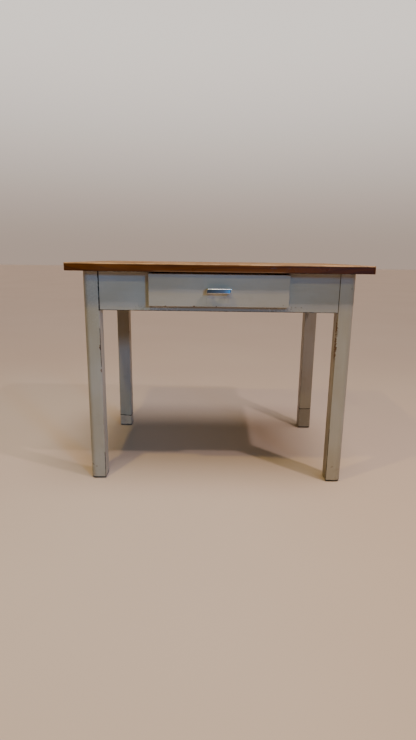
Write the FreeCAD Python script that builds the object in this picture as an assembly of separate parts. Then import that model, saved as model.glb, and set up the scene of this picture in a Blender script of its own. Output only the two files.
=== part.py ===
import FreeCAD
import Part
import math
import os

# Painted kitchen table with a wooden top and one drawer, in millimetres.
# Origin on the floor under the middle of the top; +X to the right, -Y to the front, +Z up.

# Overall
table_height = 770.0
top_length = 1000.0
top_depth = 700.0
top_thickness = 26.0
end_overhang = 47.0
front_overhang = 45.0

# Table top: boards with stopped tongues
top_board_count = 5
top_corner_radius = 8.0
top_upper_arris = 2.5
top_lower_arris = 1.0
tongue_thickness = 6.0
tongue_reach = 8.0
tongue_end_room = 0.5
tongue_stop = 30.0

# Legs, spliced rear feet and glides
leg_width = 53.0
leg_corner_radius = 16.0
leg_arris = 2.5
foot_arris = 1.8
end_arris_limit_share = 0.8
left_splice_height = 53.0
left_splice_fall = 3.6
right_splice_height = 97.0
right_splice_fall = 1.2
splice_line_width = 0.8
splice_line_depth = 0.8
splice_tenon_width = 16.0
splice_tenon_length = 56.0
glide_diameter = 26.0
glide_height = 3.5
glide_bevel = 1.5
glide_prong_count = 3
glide_prong_circle = 15.0
glide_prong_width = 5.0
glide_prong_thickness = 1.0
glide_prong_length = 10.0

# Aprons and their joints to the legs
apron_height = 130.0
apron_thickness = 20.0
apron_setback = 1.0
apron_arris = 1.2
tenon_thickness = 8.0
tenon_shoulder = 12.0
tenon_tip_room = 7.0
mortise_end_room = 1.0
glue_gap = 0.1

# Drawer opening in the front apron
opening_width = 444.0
front_rail_height = 27.0

# Corner blocks
corner_block_reach = 62.0
corner_block_height = 28.0

# Buttons that hold the top down
button_length = 40.0
button_width = 32.0
button_body_gap = 0.5
button_groove_drop = 12.0
button_groove_width = 8.0
button_groove_depth = 9.0
button_groove_stop = 25.0
button_tongue_fit = 0.2
button_tongue_room = 1.0
button_lip = 2.0
panel_button_share = 0.5

# Drawer runners, guides and kickers
runner_width = 34.0
runner_height = 20.0
runner_tenon_inset = 5.0
runner_tenon_length = 8.0
guide_width = 14.0
guide_height = 18.0
kicker_width = 20.0
kicker_height = 20.0
kicker_brad_bite = 12.0

# Drawer
drawer_front_width = 464.0
drawer_front_thickness = 20.0
drawer_front_arris = 1.8
drawer_front_lap = 10.0
drawer_front_gap = 6.0
drawer_stop_gap = 0.3
drawer_run_gap = 0.3
drawer_side_gap = 1.5
drawer_kick_gap = 3.0
drawer_rear_room = 88.3
drawer_side_thickness = 12.0
drawer_back_thickness = 12.0
drawer_back_drop = 6.0
drawer_bottom_thickness = 4.0
drawer_bottom_rise = 10.0
drawer_groove_depth = 6.0
drawer_groove_fit = 0.2
drawer_side_top_radius = 2.0
housing_depth = 8.0
housing_neck = 5.0
dovetail_pin_count = 3
dovetail_pin_end = 6.0
dovetail_slope_share = 0.17
bottom_brad_shares = (-0.4, 0.0, 0.4)
bottom_brad_bite = 18.0

# Chrome bridge pull
pull_hole_spacing = 64.0
pull_foot_width = 13.0
pull_height = 15.5
pull_projection = 25.0
pull_bar_thickness = 7.0
pull_corner_radius = 4.5
pull_inner_radius = 4.0
pull_edge_radius = 4.0
pull_bore_end_room = 2.0

# Screws and square cut brads
wood_screw_diameter = 4.0
wood_screw_head_diameter = 8.0
wood_screw_head_height = 3.0
wood_screw_bite = 13.0
pull_screw_diameter = 4.0
pull_screw_head_diameter = 8.5
pull_screw_head_height = 2.6
pull_screw_bite = 11.0
screw_clearance = 0.1
brad_width = 1.8
brad_head_width = 3.6
brad_head_height = 0.8

# One overrun for every cut that runs out through a face
overrun = 5.0

# Worked out from the sizes above
board_width = top_depth / top_board_count
frame_length = top_length - 2 * end_overhang
frame_depth = top_depth - 2 * front_overhang
leg_outer_x = frame_length / 2
leg_outer_y = frame_depth / 2
leg_inner_x = leg_outer_x - leg_width
leg_inner_y = leg_outer_y - leg_width
apron_top = table_height - top_thickness
apron_bottom = apron_top - apron_height
apron_outer_x = leg_outer_x - apron_setback
apron_outer_y = leg_outer_y - apron_setback
apron_inner_x = apron_outer_x - apron_thickness
apron_inner_y = apron_outer_y - apron_thickness
tenon_depth_from_face = (apron_thickness + tenon_thickness) / 2
tenon_length = leg_width - apron_setback - tenon_depth_from_face - tenon_tip_room
rail_top = apron_bottom + front_rail_height
groove_top = apron_top - button_groove_drop
groove_bottom = groove_top - button_groove_width
button_height = button_groove_drop + button_groove_width + button_lip
corner_block_bottom = apron_bottom + (apron_height - corner_block_height) / 2
guide_inner_x = opening_width / 2
runner_outer_x = guide_inner_x + guide_width
runner_inner_x = runner_outer_x - runner_width
kicker_bottom = apron_top - kicker_height
front_back_y = -apron_outer_y - drawer_stop_gap
front_face_y = front_back_y - drawer_front_thickness
front_bottom = rail_top - drawer_front_lap
front_top = apron_top - drawer_front_gap
side_outer_x = opening_width / 2 - drawer_side_gap
side_inner_x = side_outer_x - drawer_side_thickness
side_bottom = rail_top + drawer_run_gap
side_top = kicker_bottom - drawer_kick_gap
box_rear_y = apron_inner_y - drawer_rear_room
box_back_y = box_rear_y - drawer_back_thickness
panel_bottom = side_bottom + drawer_bottom_rise
panel_top = panel_bottom + drawer_bottom_thickness
groove_ceiling = panel_top + drawer_groove_fit
back_top = side_top - drawer_back_drop
pull_z = (front_bottom + front_top) / 2
pull_bore_diameter = pull_screw_diameter + 2 * screw_clearance

Vec = FreeCAD.Vector
X_AXIS = Vec(1, 0, 0)
Y_AXIS = Vec(0, 1, 0)
Z_AXIS = Vec(0, 0, 1)
FLOOR_CENTRE = Vec(0, 0, 0)


def block(x_low, x_high, y_low, y_high, z_low, z_high):
    """Box between two corners."""
    size = Vec(x_high - x_low, y_high - y_low, z_high - z_low)
    return Part.makeBox(size.x, size.y, size.z, Vec(x_low, y_low, z_low))


def rod(diameter, length, base, direction=Z_AXIS):
    """Cylinder from its base point along a direction."""
    return Part.makeCylinder(diameter / 2, length, base, direction)


def prism(points, travel):
    """Straight-sided outline pushed along a vector."""
    return Part.Face(Part.makePolygon(points + points[:1])).extrude(travel)


def edges_through(shape, *tests):
    """Edges whose two ends both pass every test."""
    return [edge for edge in shape.Edges
            if all(test(end) for test in tests for end in edge.Vertexes)]


def at_x(x):
    return lambda end: math.isclose(end.X, x, abs_tol=glue_gap / 2)


def at_y(y):
    return lambda end: math.isclose(end.Y, y, abs_tol=glue_gap / 2)


def at_z(z):
    return lambda end: math.isclose(end.Z, z, abs_tol=glue_gap / 2)


def to_corner(shape, x_sign, y_sign):
    """Carry a shape from the right rear corner to another corner of the table."""
    if x_sign < 0:
        shape = shape.mirror(FLOOR_CENTRE, X_AXIS)
    if y_sign < 0:
        shape = shape.mirror(FLOOR_CENTRE, Y_AXIS)
    return shape


def screw_stem(base, clearance=0):
    """Stem of a screw that passes up through a button and bites into the table top."""
    return rod(wood_screw_diameter + 2 * clearance, button_height + wood_screw_bite + clearance, base)


def button_screw(base):
    return screw_stem(base).fuse(rod(wood_screw_head_diameter, wood_screw_head_height, base, -Z_AXIS))


def upright_bar(spot, width, length):
    """Square bar upright on a spot."""
    half = width / 2
    return block(spot.x - half, spot.x + half, spot.y - half, spot.y + half, spot.z, spot.z + length)


def brad(spot, length, clearance=0):
    """Square cut brad driven upwards, with its head under the spot."""
    stem = upright_bar(spot, brad_width + 2 * clearance, length + clearance)
    return stem.fuse(upright_bar(spot - Vec(0, 0, brad_head_height), brad_head_width, brad_head_height))


# Where the screws and brads go


def button_spots():
    """Middle of each button on the plan, the way its tongue points, and its name."""
    row_y = apron_inner_y - button_body_gap - button_width / 2
    side_x = apron_inner_x - button_body_gap - button_width / 2
    panel_x = guide_inner_x + panel_button_share * (leg_inner_x - guide_inner_x)
    spots = []
    for side, x_sign in (("left", -1), ("right", 1)):
        for depth, y_sign in (("front", -1), ("back", 1)):
            place = Vec(x_sign * panel_x, y_sign * row_y, 0)
            spots.append((place, Y_AXIS * y_sign, f"{depth}_{side}_button"))
        spots.append((Vec(x_sign * side_x, 0, 0), X_AXIS * x_sign, f"{side}_button"))
    return spots


def button_screw_spots():
    return [Vec(spot.x, spot.y, apron_top - button_height) for spot, _, _ in button_spots()]


def kicker_brads(clearance=0):
    """Brads up through the kickers into the boards next to the outer ones, heads punched in level."""
    middle_x = guide_inner_x - kicker_width / 2
    board_y = (top_depth - 3 * board_width) / 2
    seat = kicker_bottom + brad_head_height
    spots = [Vec(x_sign * middle_x, y_sign * board_y, seat) for x_sign in (-1, 1) for y_sign in (-1, 1)]
    return [brad(spot, apron_top - seat + kicker_brad_bite, clearance) for spot in spots]


# Table top


def top_slab():
    """The whole top with its rounded corners and eased edges, before it is parted into boards."""
    slab = block(-top_length / 2, top_length / 2, -top_depth / 2, top_depth / 2, apron_top, table_height)
    corners = [edge for x in (-1, 1) for y in (-1, 1)
               for edge in edges_through(slab, at_x(x * top_length / 2), at_y(y * top_depth / 2))]
    slab = slab.makeFillet(top_corner_radius, corners)
    slab = slab.makeFillet(top_upper_arris, edges_through(slab, at_z(table_height)))
    return slab.makeChamfer(top_lower_arris, edges_through(slab, at_z(apron_top)))


def tongue(y, side_gap=0, end_gap=0):
    """Stopped tongue that stands behind the joint at y; with gaps, the groove for it."""
    half = top_length / 2 - tongue_stop + end_gap
    middle = apron_top + top_thickness / 2
    half_thickness = tongue_thickness / 2 + side_gap
    return block(-half, half, y, y + tongue_reach + end_gap, middle - half_thickness, middle + half_thickness)


def top_boards():
    """Boards from front to back; each has a tongue at its back edge."""
    slab = top_slab()
    pilots = [screw_stem(spot, screw_clearance) for spot in button_screw_spots()]
    pilots = Part.makeCompound(pilots + kicker_brads(glue_gap))
    boards = []
    for number in range(top_board_count):
        y_front = -top_depth / 2 + number * board_width
        y_back = y_front + board_width
        board = slab.common(block(-top_length, top_length, y_front, y_back, 0, 2 * table_height))
        if number > 0:
            board = board.cut(tongue(y_front, glue_gap, tongue_end_room))
        if number < top_board_count - 1:
            board = board.fuse(tongue(y_back))
        boards.append(board.cut(pilots).removeSplitter())
    return boards


# Aprons


def apron(shoulder_length):
    """Apron along X with its outer face on y = 0, facing +Y, and a tenon at each end."""
    half = shoulder_length / 2
    board = block(-half, half, -apron_thickness, 0, apron_bottom, apron_top)
    eased = edges_through(board, at_y(0), at_z(apron_bottom))
    for x in (-half, half):
        eased += edges_through(board, at_y(0), at_x(x))
    board = board.makeChamfer(apron_arris, eased)
    middle = -apron_thickness / 2
    tenons = block(-half - tenon_length, half + tenon_length,
                   middle - tenon_thickness / 2, middle + tenon_thickness / 2,
                   apron_bottom + tenon_shoulder, apron_top - tenon_shoulder)
    groove = block(-half + button_groove_stop, half - button_groove_stop,
                   -apron_thickness - overrun, -apron_thickness + button_groove_depth,
                   groove_bottom, groove_top)
    ends = tenons.cut(block(-half, half, -apron_thickness, 0, apron_bottom, apron_top))
    return board.cut(groove).fuse(ends).removeSplitter()


def runner_tenons(y_sign, clearance=0):
    """Stub tenons of both runners at the front or the back apron."""
    inset = runner_tenon_inset - clearance
    seat = y_sign * apron_inner_y
    tip = y_sign * (apron_inner_y + runner_tenon_length + clearance)
    low, high = sorted((seat, tip))
    tenons = [block(runner_inner_x + inset, runner_outer_x - inset, low, high,
                    rail_top - runner_height + inset, rail_top - inset)]
    tenons.append(tenons[0].mirror(FLOOR_CENTRE, X_AXIS))
    return Part.makeCompound(tenons)


def back_apron():
    board = apron(2 * leg_inner_x)
    board.translate(Vec(0, apron_outer_y, 0))
    return board.cut(runner_tenons(1, glue_gap))


def front_apron():
    """Front apron, notched from above for the drawer so that a rail runs under it."""
    board = apron(2 * leg_inner_x)
    board.translate(Vec(0, apron_outer_y, 0))
    board = board.mirror(FLOOR_CENTRE, Y_AXIS)
    notch = block(-opening_width / 2, opening_width / 2, -apron_outer_y - overrun, -apron_inner_y + overrun,
                  rail_top, apron_top + overrun)
    return board.cut(notch).cut(runner_tenons(-1, glue_gap))


def side_apron(x_sign):
    board = apron(2 * leg_inner_y)
    board.rotate(FLOOR_CENTRE, Z_AXIS, -90)
    board.translate(Vec(apron_outer_x, 0, 0))
    return to_corner(board, x_sign, 1)


# Legs, feet and glides


def leg_bar(inset=0):
    """Square bar in the right rear corner, from glide to top, with its outer corner well rounded."""
    x_low, x_high = leg_inner_x + inset, leg_outer_x - inset
    y_low, y_high = leg_inner_y + inset, leg_outer_y - inset
    bar = block(x_low, x_high, y_low, y_high, glide_height, apron_top)
    bar = bar.makeFillet(leg_corner_radius - inset, edges_through(bar, at_x(x_high), at_y(y_high)))
    sharp = [(x_low, y_low), (x_low, y_high), (x_high, y_low)]
    eased = [edge for x, y in sharp for edge in edges_through(bar, at_x(x), at_y(y))]
    arris = leg_arris - inset
    bar = bar.makeFillet(arris, eased)
    end_arris = min(foot_arris, arris * end_arris_limit_share)
    return bar.makeChamfer(end_arris, edges_through(bar, at_z(glide_height)))


def saw_cut(splice_height, splice_fall):
    """Everything below the splice of a rear leg, whose cut falls towards the inner face of the leg."""
    low = splice_height - splice_fall / 2
    high = splice_height + splice_fall / 2
    slope = (high - low) / leg_width
    reach = slope * overrun
    profile = [(leg_inner_x - overrun, 0), (leg_outer_x + overrun, 0),
               (leg_outer_x + overrun, high + reach), (leg_inner_x - overrun, low - reach)]
    points = [Vec(x, leg_inner_y - overrun, z) for x, z in profile]
    return prism(points, Vec(0, leg_width + 2 * overrun, 0))


def mortises():
    """Both mortises of the right rear leg, cut to the tenons with a glue gap."""
    thick = tenon_thickness / 2 + glue_gap
    deep = tenon_length + mortise_end_room
    low = apron_bottom + tenon_shoulder - glue_gap
    high = apron_top - tenon_shoulder + glue_gap
    y_middle = apron_outer_y - apron_thickness / 2
    x_middle = apron_outer_x - apron_thickness / 2
    along_x = block(leg_inner_x - overrun, leg_inner_x + deep, y_middle - thick, y_middle + thick, low, high)
    along_y = block(x_middle - thick, x_middle + thick, leg_inner_y - overrun, leg_inner_y + deep, low, high)
    return along_x.fuse(along_y)


def leg_middle(z):
    return Vec(leg_outer_x - leg_width / 2, leg_outer_y - leg_width / 2, z)


def glide_prongs(clearance=0):
    """Pointed prongs stamped up from the rim of a glide and driven into the foot."""
    half = glide_prong_width / 2 + clearance
    inside = glide_prong_circle / 2 - clearance
    tip = glide_height + glide_prong_length + clearance
    blade = prism([Vec(inside, -half, glide_height), Vec(inside, half, glide_height), Vec(inside, 0, tip)],
                  Vec(glide_prong_thickness + 2 * clearance, 0, 0))
    prongs = []
    for number in range(glide_prong_count):
        prong = blade.copy()
        prong.rotate(FLOOR_CENTRE, Z_AXIS, number * 360 / glide_prong_count)
        prong.translate(leg_middle(0))
        prongs.append(prong)
    return prongs


def glide():
    """Round steel glide with a bevelled rim."""
    rim = glide_diameter / 2
    bevel = Part.makeCone(rim - glide_bevel, rim, glide_bevel, leg_middle(0))
    disc = bevel.fuse(rod(glide_diameter, glide_height - glide_bevel, leg_middle(glide_bevel)))
    for prong in glide_prongs():
        disc = disc.fuse(prong)
    return disc.removeSplitter()


def splice_tenon(splice_height, clearance=0):
    """Square loose tenon, half in the leg and half in the foot block, so that the foot can't twist."""
    length = splice_tenon_length + 2 * clearance
    return upright_bar(leg_middle(splice_height - length / 2), splice_tenon_width + 2 * clearance, length)


def prong_slots():
    return Part.makeCompound(glide_prongs(glue_gap))


def whole_leg():
    """Leg in one piece, in the right rear corner."""
    return leg_bar().cut(mortises()).cut(prong_slots())


def shortened_leg(splice_height, splice_fall):
    """Leg sawn off above its foot, with half of a loose tenon let into the cut."""
    bar = leg_bar().cut(saw_cut(splice_height, splice_fall))
    return bar.cut(mortises()).cut(splice_tenon(splice_height, glue_gap))


def foot_block(splice_height, splice_fall):
    """Block glued under a shortened rear leg; its upper rim is let in, so that the joint shows as a line."""
    bar = leg_bar().common(saw_cut(splice_height - splice_line_width, splice_fall))
    rim = leg_bar(splice_line_depth).common(saw_cut(splice_height, splice_fall))
    bar = bar.fuse(rim).removeSplitter()
    return bar.cut(prong_slots()).cut(splice_tenon(splice_height, glue_gap))


# Corner blocks


def corner_block_outline():
    """Plan of the block in the right rear corner, notched round the inner corner of the leg."""
    return [Vec(leg_inner_x, apron_inner_y, corner_block_bottom),
            Vec(leg_inner_x - corner_block_reach, apron_inner_y, corner_block_bottom),
            Vec(apron_inner_x, leg_inner_y - corner_block_reach, corner_block_bottom),
            Vec(apron_inner_x, leg_inner_y, corner_block_bottom),
            Vec(leg_inner_x, leg_inner_y, corner_block_bottom)]


def corner_block():
    """Block glued into the corner of the frame, behind the leg."""
    return prism(corner_block_outline(), Vec(0, 0, corner_block_height))


# Buttons, runners, guides and kickers


def button():
    """Button with its tongue towards +Y: a stepped profile pushed along X, drilled for its screw."""
    inside = -button_width / 2
    face = button_width / 2
    tip = face + button_body_gap + button_groove_depth - button_tongue_room
    tongue_top = groove_top - button_tongue_fit
    tongue_low = groove_bottom + button_tongue_fit
    low = apron_top - button_height
    profile = [(inside, low), (face, low), (face, tongue_low), (tip, tongue_low), (tip, tongue_top),
               (face, tongue_top), (face, apron_top), (inside, apron_top)]
    points = [Vec(-button_length / 2, y, z) for y, z in profile]
    return prism(points, Vec(button_length, 0, 0)).cut(screw_stem(Vec(0, 0, low), screw_clearance))


def placed_button(spot, pointing):
    piece = button()
    turn = math.degrees(math.atan2(-pointing.x, pointing.y))
    piece.rotate(FLOOR_CENTRE, Z_AXIS, turn)
    piece.translate(spot)
    return piece


def runner(x_sign):
    """Strip under one drawer side, held by a stub tenon in the front and the back apron."""
    strip = block(runner_inner_x, runner_outer_x, -apron_inner_y, apron_inner_y,
                  rail_top - runner_height, rail_top)
    for y_sign in (-1, 1):
        strip = strip.fuse(runner_tenons(y_sign).Solids[0])
    return to_corner(strip.removeSplitter(), x_sign, 1)


def guide(x_sign):
    strip = block(guide_inner_x, runner_outer_x, -apron_inner_y, apron_inner_y,
                  rail_top, rail_top + guide_height)
    return to_corner(strip, x_sign, 1)


def kicker(x_sign):
    """Strip bradded under the top that keeps the open drawer from tipping."""
    strip = block(guide_inner_x - kicker_width, guide_inner_x, -apron_inner_y, apron_inner_y,
                  kicker_bottom, apron_top)
    return to_corner(strip, x_sign, 1).cut(Part.makeCompound(kicker_brads(glue_gap)))


# Drawer


def housed_tongue(clearance=0):
    """Dovetail tongue on the front end of the right drawer side; widens by the slope towards its tip."""
    middle = (side_inner_x + side_outer_x) / 2
    neck = housing_neck / 2 + clearance
    tip = neck + housing_depth * dovetail_slope_share
    tip_y = front_back_y - housing_depth - clearance
    plan = [Vec(middle - neck, front_back_y, side_bottom), Vec(middle + neck, front_back_y, side_bottom),
            Vec(middle + tip, tip_y, side_bottom), Vec(middle - tip, tip_y, side_bottom)]
    return prism(plan, Vec(0, 0, side_top - side_bottom + clearance))


def housing():
    """Slot for that tongue, open at the lower edge of the drawer front so that the side slides up it."""
    slot = housed_tongue(glue_gap)
    way_in = slot.copy()
    way_in.translate(Vec(0, 0, front_bottom - side_bottom))
    return slot.fuse(way_in).removeSplitter()


def drawer_front():
    """Proud front with eased face edges, slots for the sides, a groove for the bottom and pull holes."""
    half = drawer_front_width / 2
    board = block(-half, half, front_face_y, front_back_y, front_bottom, front_top)
    board = board.makeFillet(drawer_front_arris, edges_through(board, at_y(front_face_y)))
    slot = housing()
    board = board.cut(slot).cut(slot.mirror(FLOOR_CENTRE, X_AXIS))
    groove = block(-side_inner_x, side_inner_x, front_back_y - drawer_groove_depth, front_back_y + overrun,
                   panel_bottom, groove_ceiling)
    board = board.cut(groove)
    for x_sign in (-1, 1):
        start = Vec(x_sign * pull_hole_spacing / 2, front_face_y - overrun, pull_z)
        board = board.cut(rod(pull_bore_diameter, drawer_front_thickness + 2 * overrun, start, Y_AXIS))
    return board


def dovetail_pins(clearance=0):
    """Pins of the drawer back that lock between the tails of the right drawer side."""
    pitch = (back_top - groove_ceiling) / dovetail_pin_count
    pins = []
    for number in range(dovetail_pin_count):
        middle = groove_ceiling + (number + 1 / 2) * pitch
        narrow = dovetail_pin_end / 2 + clearance
        wide = narrow + drawer_back_thickness * dovetail_slope_share
        profile = [(box_back_y, middle - wide), (box_back_y, middle + wide),
                   (box_rear_y, middle + narrow), (box_rear_y, middle - narrow)]
        points = [Vec(side_inner_x, y, z) for y, z in profile]
        pins.append(prism(points, Vec(drawer_side_thickness, 0, 0)))
    return pins


def drawer_side(x_sign):
    """Side with a dovetail tongue in front, tails behind, and a groove for the bottom."""
    board = block(side_inner_x, side_outer_x, front_back_y, box_rear_y, side_bottom, side_top)
    upper = [edge for x in (side_inner_x, side_outer_x)
             for edge in edges_through(board, at_x(x), at_z(side_top))]
    board = board.makeFillet(drawer_side_top_radius, upper)
    board = board.fuse(housed_tongue())
    groove = block(side_inner_x - overrun, side_inner_x + drawer_groove_depth,
                   front_back_y - housing_depth - overrun, box_rear_y + overrun, panel_bottom, groove_ceiling)
    board = board.cut(groove).cut(Part.makeCompound(dovetail_pins(glue_gap)))
    return to_corner(board, x_sign, 1)


def bottom_brads(clearance=0):
    """Brads up through the bottom panel into the drawer back."""
    middle_y = (box_back_y + box_rear_y) / 2
    spots = [Vec(share * 2 * side_inner_x, middle_y, panel_bottom) for share in bottom_brad_shares]
    return [brad(spot, groove_ceiling - panel_bottom + bottom_brad_bite, clearance) for spot in spots]


def drawer_back():
    board = block(-side_inner_x, side_inner_x, box_back_y, box_rear_y, groove_ceiling, back_top)
    for pin in dovetail_pins():
        board = board.fuse(pin).fuse(pin.mirror(FLOOR_CENTRE, X_AXIS))
    return board.cut(Part.makeCompound(bottom_brads(glue_gap))).removeSplitter()


def drawer_bottom():
    """Thin panel in the grooves, slid in from behind under the drawer back."""
    half = side_inner_x + drawer_groove_depth - drawer_groove_fit
    panel = block(-half, half, front_back_y, box_rear_y, panel_bottom, panel_top)
    front_edge = block(-side_inner_x + glue_gap, side_inner_x - glue_gap,
                       front_back_y - drawer_groove_depth + drawer_groove_fit, front_back_y,
                       panel_bottom, panel_top)
    panel = panel.fuse(front_edge).removeSplitter()
    return panel.cut(Part.makeCompound(bottom_brads(glue_gap)))


def drawer_pull():
    """Bridge pull: a rounded bar on two feet, with a bore up each foot for its screw."""
    half = (pull_hole_spacing + pull_foot_width) / 2
    inner = (pull_hole_spacing - pull_foot_width) / 2
    low = pull_z - pull_height / 2
    high = pull_z + pull_height / 2
    bar_front = front_face_y - pull_projection
    bar_back = bar_front + pull_bar_thickness
    body = block(-half, half, bar_front, front_face_y, low, high)
    corners = [edge for x in (-half, half) for edge in edges_through(body, at_x(x), at_y(bar_front))]
    body = body.makeFillet(pull_corner_radius, corners)
    rims = [edge for z in (low, high) for edge in edges_through(body, at_z(z))
            if any(end.Y < front_face_y - glue_gap for end in edge.Vertexes)]
    body = body.makeFillet(pull_edge_radius, rims)
    gap = block(-inner, inner, bar_back, front_face_y + overrun, low - overrun, high + overrun)
    gap_corners = [edge for x in (-inner, inner) for edge in edges_through(gap, at_x(x), at_y(bar_back))]
    body = body.cut(gap.makeFillet(pull_inner_radius, gap_corners))
    for x_sign in (-1, 1):
        foot = Vec(x_sign * pull_hole_spacing / 2, front_face_y, pull_z)
        body = body.cut(rod(pull_bore_diameter, pull_screw_bite + pull_bore_end_room, foot, -Y_AXIS))
    return body


def pull_screws():
    """Machine screws from inside the drawer, through its front and into the feet of the pull."""
    screws = []
    for x_sign in (-1, 1):
        seat = Vec(x_sign * pull_hole_spacing / 2, front_back_y, pull_z)
        head = rod(pull_screw_head_diameter, pull_screw_head_height, seat, Y_AXIS)
        stem = rod(pull_screw_diameter, drawer_front_thickness + pull_screw_bite, seat, -Y_AXIS)
        screws.append(head.fuse(stem))
    return screws


# All pieces, by name


def all_pieces():
    pieces = {}
    for number, board in enumerate(top_boards(), start=1):
        pieces[f"top_board_{number}"] = board
    glides = []
    for side, x_sign in (("left", -1), ("right", 1)):
        pieces[f"front_{side}_leg"] = to_corner(whole_leg(), x_sign, -1)
        for depth, y_sign in (("front", -1), ("rear", 1)):
            pieces[f"{depth}_{side}_corner_block"] = to_corner(corner_block(), x_sign, y_sign)
            glides.append(to_corner(glide(), x_sign, y_sign))
    pieces["glides"] = Part.makeCompound(glides)
    tenons = []
    for side, x_sign, height, fall in (("left", -1, left_splice_height, left_splice_fall),
                                       ("right", 1, right_splice_height, right_splice_fall)):
        pieces[f"rear_{side}_leg"] = to_corner(shortened_leg(height, fall), x_sign, 1)
        pieces[f"rear_{side}_foot_block"] = to_corner(foot_block(height, fall), x_sign, 1)
        tenons.append(to_corner(splice_tenon(height), x_sign, 1))
    pieces["foot_tenons"] = Part.makeCompound(tenons)
    pieces["front_apron"] = front_apron()
    pieces["back_apron"] = back_apron()
    for spot, pointing, name in button_spots():
        pieces[name] = placed_button(spot, pointing)
    pieces["button_screws"] = Part.makeCompound([button_screw(spot) for spot in button_screw_spots()])
    pieces["kicker_brads"] = Part.makeCompound(kicker_brads())
    for side, x_sign in (("left", -1), ("right", 1)):
        pieces[f"{side}_apron"] = side_apron(x_sign)
        pieces[f"{side}_runner"] = runner(x_sign)
        pieces[f"{side}_guide"] = guide(x_sign)
        pieces[f"{side}_kicker"] = kicker(x_sign)
        pieces[f"drawer_{side}_side"] = drawer_side(x_sign)
    pieces["drawer_front"] = drawer_front()
    pieces["drawer_back"] = drawer_back()
    pieces["drawer_bottom"] = drawer_bottom()
    pieces["drawer_bottom_brads"] = Part.makeCompound(bottom_brads())
    pieces["drawer_pull"] = drawer_pull()
    pieces["pull_screws"] = Part.makeCompound(pull_screws())
    return pieces


os.makedirs("parts", exist_ok=True)
for piece_name, piece in all_pieces().items():
    piece.exportStep(f"parts/{piece_name}.step")
    print(piece_name, len(piece.Solids), "solids", round(piece.Volume / 1000), "cm3", piece.isValid())
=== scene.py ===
import math

import bpy
from mathutils import Matrix, Vector


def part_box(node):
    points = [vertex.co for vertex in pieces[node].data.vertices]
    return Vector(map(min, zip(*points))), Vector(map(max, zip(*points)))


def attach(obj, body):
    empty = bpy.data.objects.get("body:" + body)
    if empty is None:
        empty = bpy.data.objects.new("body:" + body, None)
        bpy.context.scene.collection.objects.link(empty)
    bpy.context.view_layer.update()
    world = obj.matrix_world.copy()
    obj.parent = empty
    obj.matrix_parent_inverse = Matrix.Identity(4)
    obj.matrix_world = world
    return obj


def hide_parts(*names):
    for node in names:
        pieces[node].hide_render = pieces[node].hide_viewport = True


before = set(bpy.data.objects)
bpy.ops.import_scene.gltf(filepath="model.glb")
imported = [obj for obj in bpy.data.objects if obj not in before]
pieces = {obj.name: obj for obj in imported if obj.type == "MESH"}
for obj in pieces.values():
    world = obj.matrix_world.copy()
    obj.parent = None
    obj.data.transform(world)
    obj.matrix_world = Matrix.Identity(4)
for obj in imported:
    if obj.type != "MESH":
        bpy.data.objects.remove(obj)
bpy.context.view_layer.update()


# Legs
# Four straight softwood legs under old greige paint, brushed on along their length. The outer corner
# of each is rounded over, and the aprons of its corner are tenoned into its two inner faces.


def srgb(red, green, blue):
    """Display colour, 0 to 255, turned into the linear colour that a shader takes."""
    shares = [value / 255 for value in (red, green, blue)]
    return tuple(s / 12.92 if s <= 0.04045 else ((s + 0.055) / 1.055) ** 2.4 for s in shares) + (1.0,)


def node(tree, kind, inputs=None, **options):
    """Add a shader node, set its options, then set or link its inputs."""
    made = tree.nodes.new("ShaderNode" + kind)
    for option, value in options.items():
        setattr(made, option, value)
    for socket, value in (inputs or {}).items():
        if isinstance(value, bpy.types.NodeSocket):
            tree.links.new(value, made.inputs[socket])
        else:
            made.inputs[socket].default_value = value
    return made.outputs


def calc(tree, operation, first, second=0.0):
    """Arithmetic on one number or two."""
    return node(tree, "Math", {0: first, 1: second}, operation=operation)[0]


def vector(tree, operation, first, second=(0, 0, 0)):
    """Arithmetic on one vector or two."""
    return node(tree, "VectorMath", {0: first, 1: second}, operation=operation)[0]


def fade(tree, value, start, end, low=0.0, high=1.0):
    """Soft step from low to high as the value goes from start to end."""
    ends = {"Value": value, "From Min": start, "From Max": end, "To Min": low, "To Max": high}
    return node(tree, "MapRange", ends, interpolation_type="SMOOTHSTEP")[0]


def mix(tree, share, first, second):
    """Blend from the first colour to the second by a share from 0 to 1."""
    return node(tree, "Mix", {0: share, 6: first, 7: second}, data_type="RGBA")[2]


def noise(tree, point, stretch, detail):
    """Noise from 0 to 1; stretch is how often it repeats per metre, one number for each axis."""
    drawn = node(tree, "Mapping", {"Vector": point, "Scale": stretch})[0]
    return node(tree, "TexNoise", {"Vector": drawn, "Scale": 1.0, "Detail": detail})[0]


def new_group(name, inputs, outputs):
    """Empty shader group with named sockets: the tree, what comes in and what goes out."""
    tree = bpy.data.node_groups.new(name, "ShaderNodeTree")
    for way, sockets in (("INPUT", inputs), ("OUTPUT", outputs)):
        for label, kind in sockets.items():
            tree.interface.new_socket(label, in_out=way, socket_type="NodeSocket" + kind)
    return tree, tree.nodes.new("NodeGroupInput").outputs, tree.nodes.new("NodeGroupOutput").inputs


def put_out(tree, ends, **values):
    """Link values to the outputs of a group by name."""
    for label, value in values.items():
        tree.links.new(value, ends[label])


def grain_frame(tree, along):
    """Object coordinates turned so that X runs along the grain."""
    turn = {"X": (0, 0, 0), "Y": (0, 0, -math.pi / 2), "Z": (0, math.pi / 2, 0)}[along]
    point = node(tree, "TexCoord")["Object"]
    return node(tree, "Mapping", {"Vector": point, "Rotation": turn})[0]


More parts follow.
